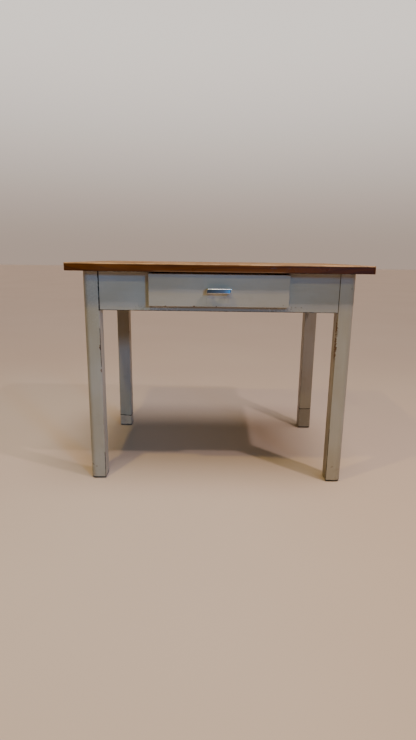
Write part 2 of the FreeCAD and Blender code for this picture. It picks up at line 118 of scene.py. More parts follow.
# Brushed paint: cloudy ageing, brush strokes along the piece, fine dirt specks.
paint_clean = srgb(178, 175, 167)
paint_aged = srgb(172, 165, 151)
paint_dirt_and_shade = srgb(104, 90, 70)
brushed_paint, came, goes = new_group(
    "brushed_paint", {"Grain": "Vector"}, {"Colour": "Color", "Roughness": "Float", "Height": "Float"})
cloud = fade(brushed_paint, noise(brushed_paint, came["Grain"], (4, 9, 9), 5.0), 0.38, 0.68)
stroke = noise(brushed_paint, came["Grain"], (7, 260, 260), 5.0)
smudge = noise(brushed_paint, came["Grain"], (26, 34, 34), 6.0)
speck = fade(brushed_paint, noise(brushed_paint, came["Grain"], (210, 240, 240), 2.0), 0.70, 0.78)
paint_tone = mix(brushed_paint, cloud, paint_clean, paint_aged)
paint_tone = mix(brushed_paint, fade(brushed_paint, stroke, 0.3, 0.75, 0.0, 0.05), paint_tone, paint_dirt_and_shade)
paint_tone = mix(brushed_paint, fade(brushed_paint, smudge, 0.56, 0.8, 0.0, 0.10), paint_tone, paint_dirt_and_shade)
paint_tone = mix(brushed_paint, calc(brushed_paint, "MULTIPLY", speck, 0.22), paint_tone, paint_dirt_and_shade)
put_out(brushed_paint, goes, Colour=paint_tone,
        Roughness=fade(brushed_paint, smudge, 0.3, 0.7, 0.36, 0.52),
        Height=calc(brushed_paint, "ADD", calc(brushed_paint, "MULTIPLY", stroke, 0.6),
                    calc(brushed_paint, "MULTIPLY", smudge, 0.4)))

# Bare wood grown in rings round a pith that lies off to one side of the piece.
ring_sway = 0.05
grown_wood, came, goes = new_group(
    "grown_wood",
    {"Grain": "Vector", "Pith": "Vector", "Rings": "Float", "Light": "Color", "Dark": "Color"},
    {"Colour": "Color", "Roughness": "Float", "Height": "Float"})
from_pith = vector(grown_wood, "SUBTRACT", came["Grain"], came["Pith"])
drift = node(grown_wood, "TexNoise", {"Vector": vector(grown_wood, "MULTIPLY", from_pith, (1.6, 5, 5)),
                                      "Scale": 1.0, "Detail": 2.0})["Color"]
drift = vector(grown_wood, "SUBTRACT", drift, (0.5, 0.5, 0.5))
drift = vector(grown_wood, "MULTIPLY", drift, (0, ring_sway, ring_sway))
across = vector(grown_wood, "MULTIPLY", vector(grown_wood, "ADD", from_pith, drift), (0, 1, 1))
radius = node(grown_wood, "VectorMath", {0: across}, operation="LENGTH")["Value"]
streak = noise(grown_wood, came["Grain"], (2.2, 75, 75), 4.0)
fibre = noise(grown_wood, came["Grain"], (16, 620, 620), 3.0)
pore = fade(grown_wood, noise(grown_wood, came["Grain"], (38, 900, 900), 2.0), 0.62, 0.74)
turns = calc(grown_wood, "ADD", calc(grown_wood, "MULTIPLY", radius, came["Rings"]),
             calc(grown_wood, "MULTIPLY", streak, 0.8))
ring = calc(grown_wood, "POWER", calc(grown_wood, "FRACT", turns), 2.0)
ring = calc(grown_wood, "MULTIPLY", ring, fade(grown_wood, calc(grown_wood, "FRACT", turns), 1.0, 0.86))
tone = calc(grown_wood, "ADD", calc(grown_wood, "MULTIPLY", ring, 0.5),
            fade(grown_wood, streak, 0.25, 0.8, 0.0, 0.55))
tone = calc(grown_wood, "ADD", tone, fade(grown_wood, fibre, 0.2, 0.8, -0.12, 0.12))
wood_tone = mix(grown_wood, tone, came["Light"], came["Dark"])
wood_tone = mix(grown_wood, calc(grown_wood, "MULTIPLY", pore, 0.5), wood_tone, came["Dark"])
put_out(grown_wood, goes, Colour=wood_tone,
        Roughness=fade(grown_wood, fibre, 0.2, 0.8, 0.52, 0.70),
        Height=calc(grown_wood, "SUBTRACT", calc(grown_wood, "MULTIPLY", fibre, 0.6),
                    calc(grown_wood, "MULTIPLY", pore, 0.4)))

# Worn arrises: paint rubbed through to the wood along the edges of a box-shaped piece.
bare_blur = 0.0007
rim_width = 0.0016
rim_overlap = 0.0002
worn_edges, came, goes = new_group(
    "worn_edges", {"Point": "Vector", "Centre": "Vector", "Half": "Vector", "Reach": "Float"},
    {"Bare": "Float", "Rim": "Float"})
inward = vector(worn_edges, "SUBTRACT", came["Half"],
                vector(worn_edges, "ABSOLUTE", vector(worn_edges, "SUBTRACT", came["Point"], came["Centre"])))
sides = node(worn_edges, "SeparateXYZ", {0: inward})
nearer = calc(worn_edges, "MINIMUM", sides[0], sides[1])
further = calc(worn_edges, "MAXIMUM", sides[0], sides[1])
to_edge = calc(worn_edges, "MAXIMUM", nearer, calc(worn_edges, "MINIMUM", further, sides[2]))
rubbed = fade(worn_edges, noise(worn_edges, came["Point"], (7, 7, 7), 3.0), 0.52, 0.74)
ragged = noise(worn_edges, came["Point"], (90, 90, 90), 5.0)
limit = calc(worn_edges, "MULTIPLY", calc(worn_edges, "MULTIPLY", came["Reach"], rubbed),
             fade(worn_edges, ragged, 0.3, 0.7, 0.2, 1.6))
depth_in = calc(worn_edges, "SUBTRACT", limit, to_edge)
put_out(worn_edges, goes, Bare=fade(worn_edges, depth_in, 0.0, bare_blur),
        Rim=fade(worn_edges, depth_in, -rim_width, rim_overlap))

# One ragged spot: a chip, a scuff or a stain of a given place and size.
ragged_spot, came, goes = new_group(
    "ragged_spot", {"Point": "Vector", "Centre": "Vector", "Size": "Vector"}, {"Mask": "Float"})
offset = vector(ragged_spot, "SUBTRACT", came["Point"], came["Centre"])
offset = vector(ragged_spot, "DIVIDE", offset, came["Size"])
spread = node(ragged_spot, "VectorMath", {0: offset}, operation="LENGTH")["Value"]
outline = noise(ragged_spot, came["Point"], (170, 170, 170), 4.0)
spread = calc(ragged_spot, "ADD", spread, fade(ragged_spot, outline, 0.25, 0.75, -0.45, 0.45))
put_out(ragged_spot, goes, Mask=fade(ragged_spot, spread, 1.05, 0.8))


def spots_mask(tree, point, spots):
    """Largest of the masks of several spots, each given by its centre, half sizes and strength."""
    total = 0.0
    for centre, size, strength in spots:
        spot = node(tree, "Group", {"Point": point, "Centre": centre, "Size": size}, node_tree=ragged_spot)[0]
        total = calc(tree, "MAXIMUM", total, calc(tree, "MULTIPLY", spot, strength))
    return total


def new_material(name):
    """New material with nodes: itself, its tree and the inputs of its surface."""
    material = bpy.data.materials.new(name)
    material.use_nodes = True
    return material, material.node_tree, material.node_tree.nodes["Principled BSDF"].inputs


bump_strength = 0.7


def finish_wood(tree, surface, colour, roughness, height, relief):
    """Link colour, roughness and a bump of a given relief in metres to a wooden surface."""
    tree.links.new(colour, surface["Base Color"])
    tree.links.new(roughness, surface["Roughness"])
    bump = node(tree, "Bump", {"Height": height, "Strength": bump_strength, "Distance": relief})
    tree.links.new(bump[0], surface["Normal"])


def wear(name, material):
    """Give a CAD piece its material."""
    pieces[name].material_slots[0].material = material


under_light = srgb(106, 72, 40)
under_dark = srgb(58, 36, 18)
under_rings = 260.0
under_pith = (0, 0.07, 0.05)
rim_tone = srgb(110, 88, 62)
corner_yellow_and_shade = srgb(122, 106, 70)
side_shade_tone = srgb(100, 90, 58)
band_shade_tone = srgb(98, 86, 50)
joint_dirt_and_shade = srgb(30, 25, 21)
inside_shade = srgb(58, 42, 28)
foot_grime_height = 0.11
leg_reach = 0.0022
paint_relief = 0.0005
brush_drag = 0.004
paint_end = 0.0006
line_blur = 0.0004
line_end = 0.004


def dirt_and_shade_line(tree, point, normal, offset, half, low, high):
    """Dark line along a plane, given by its normal, offset and half width, between two heights. It draws
    dirt in joints, and painted shade under the top and along the feet.
    """
    across = node(tree, "VectorMath", {0: point, 1: normal}, operation="DOT_PRODUCT")["Value"]
    away = calc(tree, "ABSOLUTE", calc(tree, "SUBTRACT", across, offset))
    ragged = fade(tree, noise(tree, point, (70, 70, 70), 3.0), 0.3, 0.6, 0.55 * half, half)
    line = fade(tree, calc(tree, "SUBTRACT", away, ragged), line_blur, -line_blur)
    height = node(tree, "SeparateXYZ", {0: point})["Z"]
    above_low = fade(tree, height, low - line_end, low)
    below_high = fade(tree, height, high + line_end, high)
    return calc(tree, "MULTIPLY", line, calc(tree, "MULTIPLY", above_low, below_high))


def painted(name, along, reach, chips=(), stains_and_shade=(), lines=(), unpainted=None, yellowed_shaded_corner=None,
            shaded_side=None, tone=None, shade_band=None):
    """Painted wood of one piece: paint over bare wood, rubbed through at the edges.
    chips are ragged bare spots; stains_and_shade are ragged dark spots, of dirt and of painted shade.
    lines are dark lines, of dirt in joints and of painted shade under the top and at the foot. unpainted
    gives an axis, a place on it and a sign: paint stops there on the hidden side, and the bare wood
    beyond is darkened as painted shade. yellowed_shaded_corner is the corner on the plan round which the
    paint has yellowed and carries painted shade, shaded_side the place along X of a face painted with
    shade. tone is a share and a colour that tint the paint; on the left foot block it is painted light.
    shade_band is the height, spread and share of a band of painted shade."""
    low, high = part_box(name)
    material, tree, surface = new_material("paint_" + name)
    point = node(tree, "TexCoord")["Object"]
    grain = grain_frame(tree, along)
    paint = node(tree, "Group", {"Grain": grain}, node_tree=brushed_paint)
    wood = node(tree, "Group", {"Grain": grain, "Pith": under_pith, "Rings": under_rings,
                                "Light": under_light, "Dark": under_dark}, node_tree=grown_wood)
    edges = node(tree, "Group", {"Point": point, "Centre": (low + high) / 2, "Half": (high - low) / 2,
                                 "Reach": reach}, node_tree=worn_edges)
    bare = edges["Bare"]
    if chips:
        bare = calc(tree, "MAXIMUM", bare, spots_mask(tree, point, chips))
    place = node(tree, "SeparateXYZ", {0: point})
    if unpainted:
        axis, edge, sign = unpainted
        beyond = calc(tree, "MULTIPLY", calc(tree, "SUBTRACT", place[axis], edge), sign)
        drag = fade(tree, noise(tree, grain, (30, 90, 90), 3.0), 0.2, 0.8, -brush_drag, brush_drag)
        bare = calc(tree, "MAXIMUM", bare, fade(tree, calc(tree, "ADD", beyond, drag), 0.0, paint_end))
    colour = paint["Colour"]
    if tone:
        tint_share, tint = tone
        colour = mix(tree, tint_share, colour, tint)
    # Yellowed paint and painted shade: an olive tint round the rounded outer corner.
    if yellowed_shaded_corner:
        out_x = calc(tree, "SUBTRACT", calc(tree, "ABSOLUTE", place["X"]), yellowed_shaded_corner[0])
        out_y = calc(tree, "SUBTRACT", calc(tree, "ABSOLUTE", place["Y"]), yellowed_shaded_corner[1])
        corner = fade(tree, calc(tree, "ADD", out_x, out_y), -0.022, -0.006, 0.0, 0.3)
        corner = calc(tree, "MULTIPLY", corner, fade(tree, noise(tree, point, (40, 40, 6), 3.0), 0.3, 0.6))
        colour = mix(tree, corner, colour, corner_yellow_and_shade)
    # Painted shade: an olive tint on a face that only warm light reaches.
    if shaded_side:
        away = calc(tree, "ABSOLUTE", calc(tree, "SUBTRACT", place["X"], shaded_side))
        side_shade = fade(tree, noise(tree, point, (30, 30, 5), 4.0), 0.25, 0.7, 0.25, 0.75)
        side_shade = calc(tree, "MULTIPLY", side_shade, fade(tree, away, 0.0025, 0.0006))
        colour = mix(tree, side_shade, colour, side_shade_tone)
    low_down = fade(tree, place["Z"], foot_grime_height, 0.0)
    patchy = fade(tree, noise(tree, point, (40, 40, 55), 5.0), 0.46, 0.70, 0.0, 0.28)
    grime_and_shade = calc(tree, "MULTIPLY", low_down, patchy)
    # Some of these spots are dirt, and some are painted shade.
    if stains_and_shade:
        grime_and_shade = calc(tree, "MAXIMUM", grime_and_shade, spots_mask(tree, point, stains_and_shade))
    # Painted shade: the paint turns darker and olive in a band about a given height.
    if shade_band:
        shade_height, shade_spread, shade_share = shade_band
        away = calc(tree, "ABSOLUTE", calc(tree, "SUBTRACT", place["Z"], shade_height))
        band_shade = fade(tree, away, shade_spread, shade_spread / 2, 0.0, shade_share)
        colour = mix(tree, band_shade, colour, band_shade_tone)
    colour = mix(tree, grime_and_shade, colour, paint_dirt_and_shade)
    colour = mix(tree, calc(tree, "MULTIPLY", edges["Rim"], 0.55), colour, rim_tone)
    under = wood["Colour"]
    # Painted shade: the bare wood on the hidden side is darkened.
    if unpainted:
        under = mix(tree, fade(tree, beyond, 0.0, 0.001, 0.0, 0.6), under, inside_shade)
    colour = mix(tree, bare, colour, under)
    for line in lines:
        colour = mix(tree, dirt_and_shade_line(tree, point, *line), colour, joint_dirt_and_shade)
    roughness = mix(tree, bare, paint["Roughness"], wood["Roughness"])
    height = calc(tree, "SUBTRACT", paint["Height"], calc(tree, "MULTIPLY", bare, 0.8))
    finish_wood(tree, surface, colour, roughness, height, paint_relief)
    wear(name, material)


leg_low, leg_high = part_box("front_right_leg")
outer_corner = (leg_high.x, -leg_low.y)
inner_edge = leg_low.x
leg_face = leg_low.y
apron_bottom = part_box("front_apron")[0].z
leg_top = leg_high.z
leg_middle = (inner_edge + outer_corner[0]) / 2
slant = math.sqrt(0.5)
arris_setback = 0.001
left_arris = ((slant, -slant, 0), slant * (-inner_edge - leg_face) - arris_setback)
right_arris = ((slant, slant, 0), slant * (inner_edge + leg_face) + arris_setback)
# Painted shadow: a dark line round the foot, just above the floor.
foot_shadow_height = 0.0012
foot_shadow_line = ((0, 0, 1), leg_low.z + foot_shadow_height, 0.003, 0.0, leg_top)
# A dark line under the top: dirt in the joint and painted shade.
top_joint_shade = ((0, 0, 1), leg_top, 0.0026, 0.0, leg_top)
painted("front_left_leg", "Z", leg_reach, yellowed_shaded_corner=outer_corner,
        chips=[((-inner_edge - 0.003, leg_face, 0.486), (0.0025, 0.003, 0.008), 1.0),
               ((-inner_edge - 0.002, leg_face, 0.405), (0.0020, 0.003, 0.006), 1.0)],
        # The broad faint darkening over the lower leg is painted shade.
        stains_and_shade=[((-leg_middle, leg_face, 0.25), (0.1, 0.1, 0.5), 0.13),
                ((-0.446, leg_face, 0.055), (0.005, 0.01, 0.004), 0.7),
                ((-0.433, leg_face, 0.047), (0.004, 0.01, 0.004), 0.4)],
        lines=[foot_shadow_line, top_joint_shade,
               ((1, 0, 0), -inner_edge, 0.0024, apron_bottom, leg_top),
               (*left_arris, 0.0005, 0.42, 0.55), (*left_arris, 0.0005, 0.0, 0.10)])
# The front right leg's inner face carries painted shade, an olive tint.
painted("front_right_leg", "Z", leg_reach, yellowed_shaded_corner=outer_corner, shaded_side=inner_edge,
        chips=[((inner_edge, leg_face + 0.008, 0.495), (0.005, 0.010, 0.045), 1.0),
               ((inner_edge, leg_face + 0.007, 0.560), (0.005, 0.008, 0.030), 1.0),
               ((inner_edge + 0.004, leg_face, 0.545), (0.0015, 0.003, 0.012), 0.6),
               ((0.440, leg_face, 0.695), (0.0015, 0.003, 0.004), 1.0)],
        stains_and_shade=[((0.420, leg_face, 0.058), (0.005, 0.01, 0.004), 0.35)],
        lines=[foot_shadow_line, top_joint_shade,
               ((1, 0, 0), inner_edge, 0.0006, apron_bottom, leg_top),
               (*right_arris, 0.0004, 0.01, 0.20)])
seam_fall = {"left": 0.0036, "right": 0.0012}
seam_setback = 0.0006
seam_half = 0.0022
# Painted shade on the rear legs: height, spread and share of a darker band on each.
leg_shade_band = {"left": (0.57, 0.20, 0.42), "right": (0.45, 0.60, 0.27)}
seam_line = {}
for side, sign in (("left", -1), ("right", 1)):
    seam_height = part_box(f"rear_{side}_foot_block")[1].z - seam_fall[side] / 2
    slope = seam_fall[side] / (outer_corner[0] - inner_edge)
    seam_offset = seam_height - slope * leg_middle - seam_setback
    seam_line[side] = ((-sign * slope, 0, 1), seam_offset, seam_half, 0.0, leg_top)
    painted(f"rear_{side}_leg", "Z", leg_reach, yellowed_shaded_corner=outer_corner, shade_band=leg_shade_band[side],
            lines=[seam_line[side]])


# Foot blocks
# Short softwood blocks of the same section, glued and loose-tenoned under the two rear legs to make
# up for ends that were sawn off, then painted over. The joint shows as a dark line.

# Painted shade: the right foot block is darkened all over.
block_shade = {"left": 0.0, "right": 0.5}
# Painted light: the paint of the left foot block is lightened.
block_painted_light = {"left": (0.38, srgb(226, 202, 184)), "right": None}
for side in ("left", "right"):
    low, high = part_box(f"rear_{side}_foot_block")
    painted(f"rear_{side}_foot_block", "Z", leg_reach, yellowed_shaded_corner=outer_corner,
            tone=block_painted_light[side], stains_and_shade=[((low + high) / 2, (0.06, 0.06, 0.10), block_shade[side])],
            lines=[seam_line[side], foot_shadow_line])

softwood_light = srgb(205, 165, 112)
softwood_dark = srgb(150, 104, 58)
softwood_dust = srgb(120, 96, 68)
planed_relief = 0.0004


def softwood(name, along, pith=(0, 0.06, 0.08), rings=230.0, light=softwood_light, dark=softwood_dark):
    """Bare planed softwood, yellowed with age and a little grubby."""
    material, tree, surface = new_material("softwood_" + name)
    grain = grain_frame(tree, along)
    wood = node(tree, "Group", {"Grain": grain, "Pith": pith, "Rings": rings, "Light": light, "Dark": dark},
                node_tree=grown_wood)
    dust = fade(tree, noise(tree, grain, (9, 14, 14), 5.0), 0.42, 0.75, 0.0, 0.4)
    colour = mix(tree, dust, wood["Colour"], softwood_dust)
    finish_wood(tree, surface, colour, wood["Roughness"], wood["Height"], planed_relief)
    wear(name, material)


softwood("foot_tenons", "Z")


# Glides
# Round discs of zinc-plated steel with a bevelled rim, one under each foot. The three prongs of each are
# driven up into slots in the end grain, so that the wood stands clear of the floor.


def plated_steel(name):
    """Dull zinc plate: cloudy grey with a few rusty freckles."""
    material, tree, surface = new_material("plated_" + name)
    point = node(tree, "TexCoord")["Object"]
    cloudy = noise(tree, point, (300, 300, 300), 4.0)
    rust = fade(tree, noise(tree, point, (420, 420, 420), 3.0), 0.62, 0.72)
    colour = mix(tree, cloudy, srgb(120, 118, 114), srgb(168, 167, 163))
    colour = mix(tree, calc(tree, "MULTIPLY", rust, 0.6), colour, srgb(96, 58, 34))
    tree.links.new(colour, surface["Base Color"])
    tree.links.new(fade(tree, cloudy, 0.2, 0.8, 0.38, 0.6), surface["Roughness"])
    tree.links.new(fade(tree, rust, 0.0, 1.0, 1.0, 0.3), surface["Metallic"])
    wear(name, material)


plated_steel("glides")


# Aprons
# Four boards on edge, tenoned into the legs and painted on the outside only: the inner faces are bare.
# The front one is notched from above for the drawer, so that a rail runs on under it.

apron_reach = 0.0014
paint_wrap = 0.004
front_low, front_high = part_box("front_apron")
side_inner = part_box("right_apron")[0].x
painted("front_apron", "X", apron_reach, unpainted=("Y", front_high.y - paint_wrap, 1),
        stains_and_shade=[((0.243, front_low.y, 0.632), (0.004, 0.006, 0.002), 0.45),
                ((0.256, front_low.y, 0.631), (0.004, 0.006, 0.002), 0.45),
                ((0.276, front_low.y, 0.631), (0.003, 0.006, 0.003), 0.5),
                # A darker band along the rail under the drawer.
                ((0.0, front_low.y, front_low.z + 0.008), (0.225, 0.006, 0.016), 0.4)],
        lines=[top_joint_shade,
               ((0, 0, 1), front_low.z, 0.0022, 0.0, front_high.z),
               ((1, 0, 0), -inner_edge, 0.0022, front_low.z, front_high.z),
               ((1, 0, 0), inner_edge, 0.0006, front_low.z, front_high.z)])
painted("back_apron", "X", apron_reach, unpainted=("Y", -front_high.y + paint_wrap, -1))
painted("left_apron", "Y", apron_reach, unpainted=("X", -side_inner - paint_wrap, 1))
painted("right_apron", "Y", apron_reach, unpainted=("X", side_inner + paint_wrap, -1))


# Corner blocks
# Low blocks of bare softwood, sawn to shape and glued into the four corners of the frame behind the legs,
# where they keep it square.

for depth in ("front", "rear"):
    for side in ("left", "right"):
        softwood(f"{depth}_{side}_corner_block", "Z", pith=(0, 0.02, 0.03))


# Runners, guides and kickers
# The drawer slides on two runners stub-tenoned between front and back apron; a guide on each keeps it
# straight, and a kicker bradded under the top keeps it level when it is open.

for side in ("left", "right"):
    softwood(f"{side}_runner", "Y", pith=(0, 0.30, 0.60))
    softwood(f"{side}_guide", "Y", pith=(0, 0.28, 0.62))
    softwood(f"{side}_kicker", "Y", pith=(0, 0.27, 0.80))
plated_steel("kicker_brads")


# Table top
# Five boards, tongued and glued edge to edge, stained brown all over, and varnished above and on the
# edges. Use has rubbed the upper arris pale, and a painted highlight lightens it further; the edges
# also carry painted shade and a painted highlight.

board_dark = srgb(48, 20, 2)
stain_light = srgb(104, 74, 46)
stain_dark = srgb(66, 42, 24)
board_tints = (srgb(106, 56, 4), srgb(98, 50, 8), srgb(110, 60, 12), srgb(100, 50, 6), srgb(106, 56, 10))
board_piths = ((0, 0.06, 0.62), (0, -0.19, 0.70), (0, 0.02, 0.86), (0, 0.20, 0.66), (0, 0.30, 0.60))
board_rings = 150.0
rubbed_tone = srgb(128, 80, 40)
arris_wear_and_highlight = srgb(226, 178, 128)
low_arris_highlight_tone = srgb(150, 108, 72)
arris_height = 0.0046
arris_full = 0.0026
rim_start = 0.0030
rim_full = 0.0015
varnish_end = 0.0009
stain_full = 0.0004
varnish_gloss = 0.3
varnish_relief = 0.0003
top_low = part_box("top_board_1")[0]
top_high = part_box("top_board_5")[1]
drawer_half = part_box("drawer_front")[1].x


def varnished_board(number, tint, pith):
    """One board of the top: varnished above and on the edges, rubbed at its arrises, only stained below.
    Its upper arris also gets a painted highlight, and its edges painted shade and a painted highlight.
    """
    name = f"top_board_{number}"
    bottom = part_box(name)[0].z
    material, tree, surface = new_material("varnished_" + name)
    point = node(tree, "TexCoord")["Object"]
    grain = grain_frame(tree, "X")
    wood = node(tree, "Group", {"Grain": grain, "Pith": pith, "Rings": board_rings,
                                "Light": tint, "Dark": board_dark}, node_tree=grown_wood)
    raw = node(tree, "Group", {"Grain": grain, "Pith": pith, "Rings": board_rings,
                               "Light": stain_light, "Dark": stain_dark}, node_tree=grown_wood)
    place = node(tree, "SeparateXYZ", {0: point})
    underside = fade(tree, place["Z"], bottom + varnish_end, bottom + stain_full)
    use = noise(tree, point, (5, 5, 5), 5.0)
    rubbed = fade(tree, use, 0.45, 0.75, 0.0, 0.22)
    colour = mix(tree, rubbed, wood["Colour"], rubbed_tone)
    to_end = calc(tree, "SUBTRACT", top_high.x, calc(tree, "ABSOLUTE", place["X"]))
    to_side = calc(tree, "SUBTRACT", top_high.y, calc(tree, "ABSOLUTE", place["Y"]))
    # The upper arris is lightened: rubbed pale, plus a painted highlight, strongest at the front.
    at_front = fade(tree, place["Y"], top_low.y + 0.012, top_low.y + 0.004)
    at_rim = fade(tree, calc(tree, "MINIMUM", to_end, to_side), rim_start, rim_full)
    near_top = fade(tree, place["Z"], top_high.z - arris_height, top_high.z - arris_full)
    broken = fade(tree, noise(tree, point, (12, 12, 12), 5.0), 0.35, 0.65, 0.4, 0.9)
    arris = calc(tree, "MULTIPLY", calc(tree, "MULTIPLY", at_rim, near_top), broken)
    arris = calc(tree, "MULTIPLY", arris, fade(tree, at_front, 0.0, 1.0, 0.4, 1.0))
    # Painted shade: the front edge darker towards its right end, and every edge darker near the bottom.
    front_edge_shade = calc(tree, "MULTIPLY", at_front, fade(tree, place["X"], 0.12, 0.42, 0.0, 0.45))
    low_edge_shade = fade(tree, place["Z"], top_low.z + 0.007, top_low.z + 0.002, 0.0, 0.5)
    colour = mix(tree, calc(tree, "MAXIMUM", front_edge_shade, low_edge_shade), colour, board_dark)
    # Painted highlight: the lower arris of the front edge, over the drawer, is lightened.
    over_drawer = fade(tree, calc(tree, "ABSOLUTE", place["X"]), drawer_half, drawer_half - 0.04)
    near_bottom = fade(tree, place["Z"], top_low.z + arris_height, top_low.z + arris_full)
    low_arris_highlight = calc(tree, "MULTIPLY", calc(tree, "MULTIPLY", over_drawer, near_bottom), at_front)
    colour = mix(tree, calc(tree, "MULTIPLY", low_arris_highlight, 0.6), colour, low_arris_highlight_tone)
    colour = mix(tree, arris, colour, arris_wear_and_highlight)
    colour = mix(tree, underside, colour, raw["Colour"])
    gloss = fade(tree, use, 0.3, 0.7, 0.26, 0.40)
    roughness = mix(tree, underside, gloss, raw["Roughness"])
    surface["Specular IOR Level"].default_value = varnish_gloss
    finish_wood(tree, surface, colour, roughness, wood["Height"], varnish_relief)
    wear(name, material)


for number, (tint, pith) in enumerate(zip(board_tints, board_piths), start=1):
    varnished_board(number, tint, pith)


# Buttons
# Hardwood buttons whose tongues hook into grooves in the aprons; one screw each pulls the top down
# and still lets it swell and shrink.

button_light = srgb(196, 150, 100)
button_dark = srgb(150, 106, 64)
for name in ("front_left", "front_right", "back_left", "back_right"):
    softwood(name + "_button", "X", light=button_light, dark=button_dark)
for name in ("left", "right"):
    softwood(name + "_button", "Y", light=button_light, dark=button_dark)
plated_steel("button_screws")


# Drawer box
# Sides with a dovetailed tongue housed in the front, tails and pins at the back, all of bare softwood;
# a thin plywood bottom slides into grooves from behind and is bradded to the back.

box_pith = (0, 0.26, 0.60)
ply_light = srgb(198, 152, 98)
ply_dark = srgb(160, 112, 66)
for side in ("left", "right"):
    softwood(f"drawer_{side}_side", "Y", pith=box_pith)
softwood("drawer_back", "X", pith=box_pith)
softwood("drawer_bottom", "X", pith=(0, 0.1, 0.2), rings=60.0, light=ply_light, dark=ply_dark)
plated_steel("drawer_bottom_brads")


# Drawer front
# A softwood board with eased edges that stands proud of the apron, painted like the frame and chipped along
# its lower edge. The two sides of the box are housed in its back.

front_paint_wrap = 0.0008
front_tone = (0.3, srgb(174, 157, 139))
drawer_low, drawer_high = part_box("drawer_front")
painted("drawer_front", "X", apron_reach, tone=front_tone,
        unpainted=("Y", drawer_high.y - front_paint_wrap, 1),
        # The four faint streaks under the pull are its painted shadows.
        stains_and_shade=[((-0.041, drawer_low.y, 0.652), (0.0020, 0.004, 0.016), 0.15),
                ((0.031, drawer_low.y, 0.655), (0.0020, 0.004, 0.014), 0.15),
                ((-0.020, drawer_low.y, 0.660), (0.004, 0.004, 0.008), 0.10),
                ((0.019, drawer_low.y, 0.660), (0.004, 0.004, 0.008), 0.10),
                ((0.213, drawer_low.y, 0.640), (0.002, 0.004, 0.003), 0.4)],
        chips=[((-0.177, drawer_low.y, drawer_low.z + 0.001), (0.004, 0.004, 0.0020), 1.0),
               ((-0.081, drawer_low.y, drawer_low.z + 0.001), (0.003, 0.004, 0.0025), 1.0),
               ((-0.008, drawer_low.y, drawer_low.z + 0.001), (0.002, 0.004, 0.0030), 1.0)])


# Pull
# A cast bridge pull with a slightly bowed front, chromed and a little dulled by hands. Two machine screws
# hold it from inside the drawer.


def chrome(name):
    """Bright chrome plate with faint smears."""
    material, tree, surface = new_material("chrome_" + name)
    point = node(tree, "TexCoord")["Object"]
    smear = noise(tree, point, (60, 60, 160), 5.0)
    tree.links.new(mix(tree, smear, srgb(205, 208, 212), srgb(228, 228, 226)), surface["Base Color"])
    tree.links.new(fade(tree, smear, 0.3, 0.7, 0.07, 0.2), surface["Roughness"])
    surface["Metallic"].default_value = 1.0
    return material


def pick_edges(piece, test):
    """Go to edit mode with only the edges selected whose two ends pass a test."""
    bpy.ops.object.mode_set(mode="EDIT")
    bpy.ops.mesh.select_mode(type="EDGE")
    bpy.ops.mesh.select_all(action="DESELECT")
    bpy.ops.object.mode_set(mode="OBJECT")
    corners = piece.data.vertices
    for edge in piece.data.edges:
        edge.select = test(corners[edge.vertices[0]].co, corners[edge.vertices[1]].co)
    bpy.ops.object.mode_set(mode="EDIT")


def new_block(name, low, high):
    """Cube primitive brought to the size and place of a box, as the only selected object."""
    bpy.ops.object.select_all(action="DESELECT")
    bpy.ops.mesh.primitive_cube_add(size=1, location=(low + high) / 2, scale=high - low)
    bpy.ops.object.transform_apply(location=True, rotation=True, scale=True)
    bpy.context.object.name = name
    return bpy.context.object


def carve(piece, tool):
    """Cut a tool's shape out of a piece, and throw the tool away."""
    bpy.ops.object.select_all(action="DESELECT")
    piece.select_set(True)
    bpy.context.view_layer.objects.active = piece
    cut = piece.modifiers.new("carve", "BOOLEAN")
    cut.operation = "DIFFERENCE"
    cut.object = tool
    bpy.ops.object.modifier_apply(modifier=cut.name)
    bpy.data.objects.remove(tool)


near = 1e-5
pull_low, pull_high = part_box("drawer_pull")
pull_bar = 0.007
pull_foot = 0.013
pull_bow = 0.0019
pull_columns = 16
pull_upper_round = 0.0032
pull_lower_round = 0.0015
pull_arris = 0.0007
pull_inner_corner = 0.004
gap_overrun = 0.01
smooth_below = math.radians(40)
pull = new_block("chrome_pull", pull_low, pull_high)
pick_edges(pull, lambda a, b: abs(a.x - b.x) > near)
bpy.ops.mesh.subdivide(number_cuts=pull_columns - 1)
for column in range(pull_columns + 1):
    across = pull_low.x + (pull_high.x - pull_low.x) * column / pull_columns
    pick_edges(pull, lambda a, b: max(abs(a.x - across), abs(b.x - across)) < near
               and max(a.y, b.y) < pull_low.y + near)
    bpy.ops.transform.translate(value=(0, pull_bow * (across / pull_high.x) ** 2, 0))
for height, rounding in ((pull_high.z, pull_upper_round), (pull_low.z, pull_lower_round)):
    pick_edges(pull, lambda a, b: max(abs(a.z - height), abs(b.z - height)) < near
               and max(a.y, b.y) < pull_low.y + pull_bar)
    bpy.ops.mesh.bevel(offset=rounding, segments=8, affect="EDGES")
pick_edges(pull, lambda a, b: min(abs(a.x), abs(b.x)) > pull_high.x - near
           and min(a.y, b.y) < pull_high.y - near)
bpy.ops.mesh.bevel(offset=pull_arris, segments=3, affect="EDGES")
bpy.ops.object.mode_set(mode="OBJECT")
gap = new_block("finger_gap",
                Vector((pull_low.x + pull_foot, pull_low.y + pull_bar, pull_low.z - gap_overrun)),
                Vector((pull_high.x - pull_foot, pull_high.y + gap_overrun, pull_high.z + gap_overrun)))
pick_edges(gap, lambda a, b: abs(a.z - b.z) > near and max(a.y, b.y) < pull_low.y + pull_bar + near)
bpy.ops.mesh.bevel(offset=pull_inner_corner, segments=6, affect="EDGES")
bpy.ops.object.mode_set(mode="OBJECT")
carve(pull, gap)
bpy.ops.object.shade_smooth_by_angle(angle=smooth_below)
pull.data.materials.append(chrome("pull"))
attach(pull, "drawer")
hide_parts("drawer_pull")
plated_steel("pull_screws")


